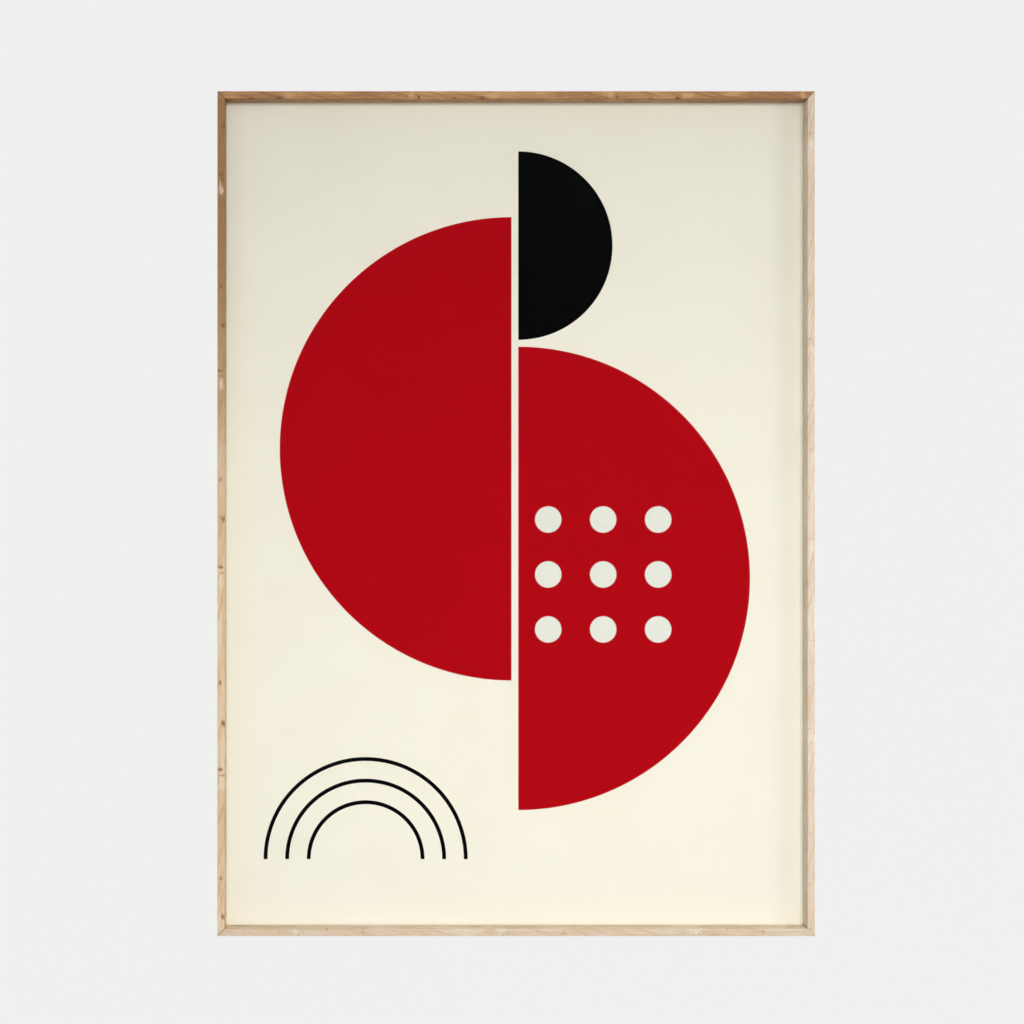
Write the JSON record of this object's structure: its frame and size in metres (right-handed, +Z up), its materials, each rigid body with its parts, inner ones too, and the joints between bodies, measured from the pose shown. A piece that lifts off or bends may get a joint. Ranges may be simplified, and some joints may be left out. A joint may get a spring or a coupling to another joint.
{
  "type": "framed wall print",
  "caption": "Tall framed art print for a wall: slim mitred oak frame, clear glazing, paper print with an abstract design, backing board and toothed hanger.",
  "frame": {"origin": "the hanging point, on the frame's centre line in the plane of its back: where the wall nail carries the hanger's middle notch", "axes": "+Z up, +Y into the wall, so the picture looks along -Y; +X to the right for someone who looks at the picture"},
  "size_m": [0.602, 0.028, 0.851],
  "materials": {
    "oak": "satin",
    "glazing": "polished",
    "print_paper": "matte",
    "hardboard": "matte",
    "steel": "satin"
  },
  "bodies": {
    "root": {"frame_top": "oak", "frame_bottom": "oak", "frame_left": "oak", "frame_right": "oak", "glazing": "glazing", "print": "print_paper", "backing_board": "hardboard", "tab_top_1": "steel", "tab_top_2": "steel", "tab_top_3": "steel", "tab_bottom_1": "steel", "tab_bottom_2": "steel", "tab_bottom_3": "steel", "tab_left_1": "steel", "tab_left_2": "steel", "tab_left_3": "steel", "tab_left_4": "steel", "tab_right_1": "steel", "tab_right_2": "steel", "tab_right_3": "steel", "tab_right_4": "steel", "corner_fastener_top_left": "steel", "corner_fastener_top_right": "steel", "corner_fastener_bottom_left": "steel", "corner_fastener_bottom_right": "steel", "hanger_plate": "steel", "hanger_rivet_left": "steel", "hanger_rivet_right": "steel"}
  },
  "joints": []
}
